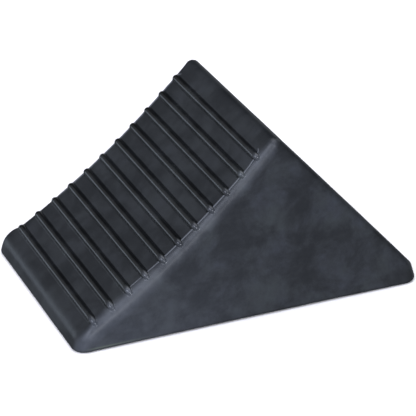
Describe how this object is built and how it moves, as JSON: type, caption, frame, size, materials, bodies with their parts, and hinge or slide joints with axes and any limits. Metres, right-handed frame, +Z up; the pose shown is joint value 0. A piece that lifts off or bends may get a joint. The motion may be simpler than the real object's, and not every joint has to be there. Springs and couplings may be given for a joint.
{
  "type": "wheel chock",
  "caption": "Solid moulded rubber wedge with a dished, cross-ribbed face and a flat base, to chock a wheel or hold a door or gate open.",
  "frame": {"origin": "middle of the flat base", "axes": "+Z up, +X from the thin toe to the heel, +Y along the grip bars"},
  "size_m": [0.1997, 0.1268, 0.0997],
  "materials": {
    "moulded_rubber": "satin black, smooth from the mould, with a faint bloom",
    "bar_rubber": "satin black, smooth from the mould, a little glossier on the crests"
  },
  "bodies": {
    "root": {"wedge_body": "moulded_rubber", "tread_rib_01": "bar_rubber", "tread_rib_02": "bar_rubber", "tread_rib_03": "bar_rubber", "tread_rib_04": "bar_rubber", "tread_rib_05": "bar_rubber", "tread_rib_06": "bar_rubber", "tread_rib_07": "bar_rubber", "tread_rib_08": "bar_rubber", "tread_rib_09": "bar_rubber", "tread_rib_10": "bar_rubber", "tread_rib_11": "bar_rubber"}
  },
  "joints": []
}
